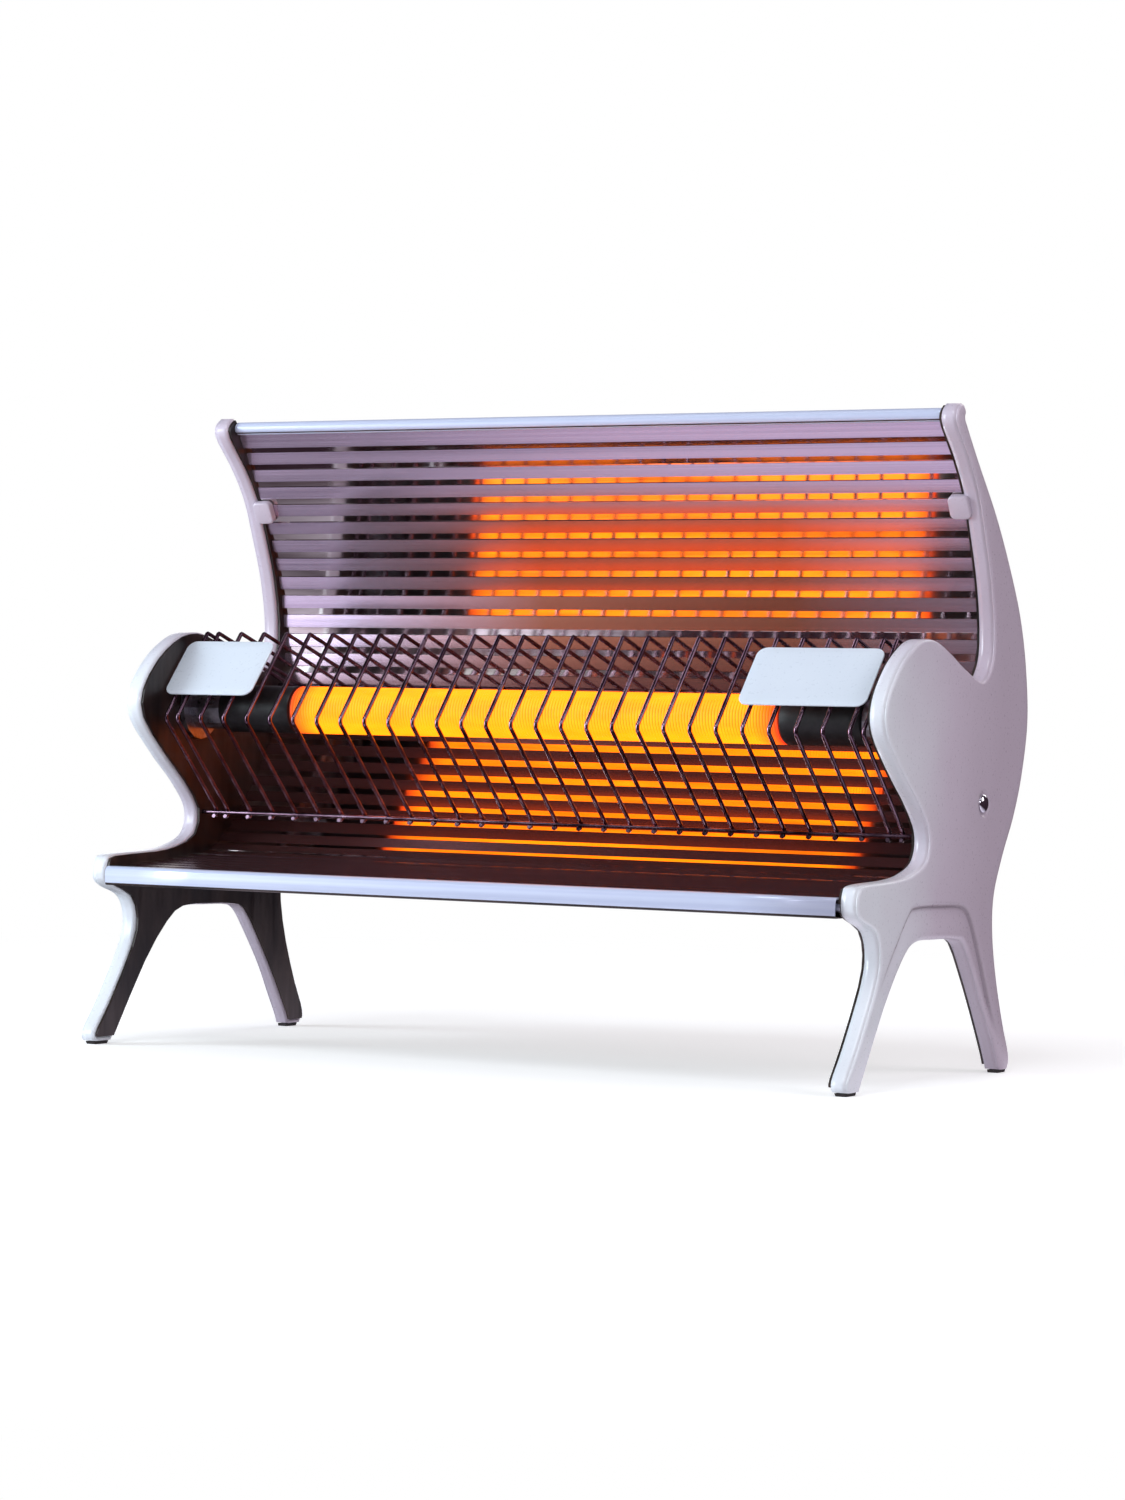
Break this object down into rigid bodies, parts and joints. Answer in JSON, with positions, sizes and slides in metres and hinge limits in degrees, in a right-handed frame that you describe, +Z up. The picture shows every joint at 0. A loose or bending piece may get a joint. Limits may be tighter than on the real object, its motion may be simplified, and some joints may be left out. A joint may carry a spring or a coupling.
{
  "type": "ceramic rod room heater",
  "caption": "Radiant room heater: glowing wound ceramic rod before a ribbed mirror sheet, bent-wire guard, and two white side panels with splayed legs.",
  "frame": {"origin": "centre of the footprint, on the floor", "axes": "+X along the rod to the right seen from the front, -Y the way the heater shines, +Z up"},
  "size_m": [0.4232, 0.2038, 0.32],
  "materials": {
    "shell": "glossy white moulding",
    "plate": "dark brown enamel",
    "mirror": "bright ribbed reflector",
    "trim": "polished",
    "cover": "dark enamel",
    "ceramic": "unglazed",
    "glow": "glowing resistance wire",
    "cap": "black",
    "steel": "zinc plated",
    "guard": "polished wire",
    "label": "gloss",
    "rubber": "matt",
    "block": "heat resistant",
    "lead": "sleeved",
    "earth": "sleeved"
  },
  "bodies": {
    "root": {"side_panel_left": "shell", "inner_plate_left": "plate", "foot_pad_front_left": "rubber", "foot_pad_rear_left": "rubber", "side_screw_left": "trim", "rod_cap_left": "cap", "rod_holder_left": "steel", "terminal_stud_left": "steel", "terminal_nut_left": "steel", "label_plate_left": "label", "supply_lead_left": "lead", "cover_screw_lower_left": "steel", "cover_screw_upper_left": "steel", "side_panel_right": "shell", "inner_plate_right": "plate", "foot_pad_front_right": "rubber", "foot_pad_rear_right": "rubber", "side_screw_right": "trim", "rod_cap_right": "cap", "rod_holder_right": "steel", "terminal_stud_right": "steel", "terminal_nut_right": "steel", "label_plate_right": "label", "supply_lead_right": "lead", "cover_screw_lower_right": "steel", "cover_screw_upper_right": "steel", "mirror_sheet": "mirror", "top_bead": "trim", "front_lip": "trim", "back_cover": "cover", "bottom_cover": "cover", "top_tie_rod": "steel", "front_tie_rod": "steel", "cross_bar": "steel", "wire_guard": "guard", "ceramic_rod": "ceramic", "heating_winding": "glow", "terminal_block": "block", "earth_lead": "earth", "earth_screw": "steel", "cord_gland": "rubber"}
  },
  "joints": []
}
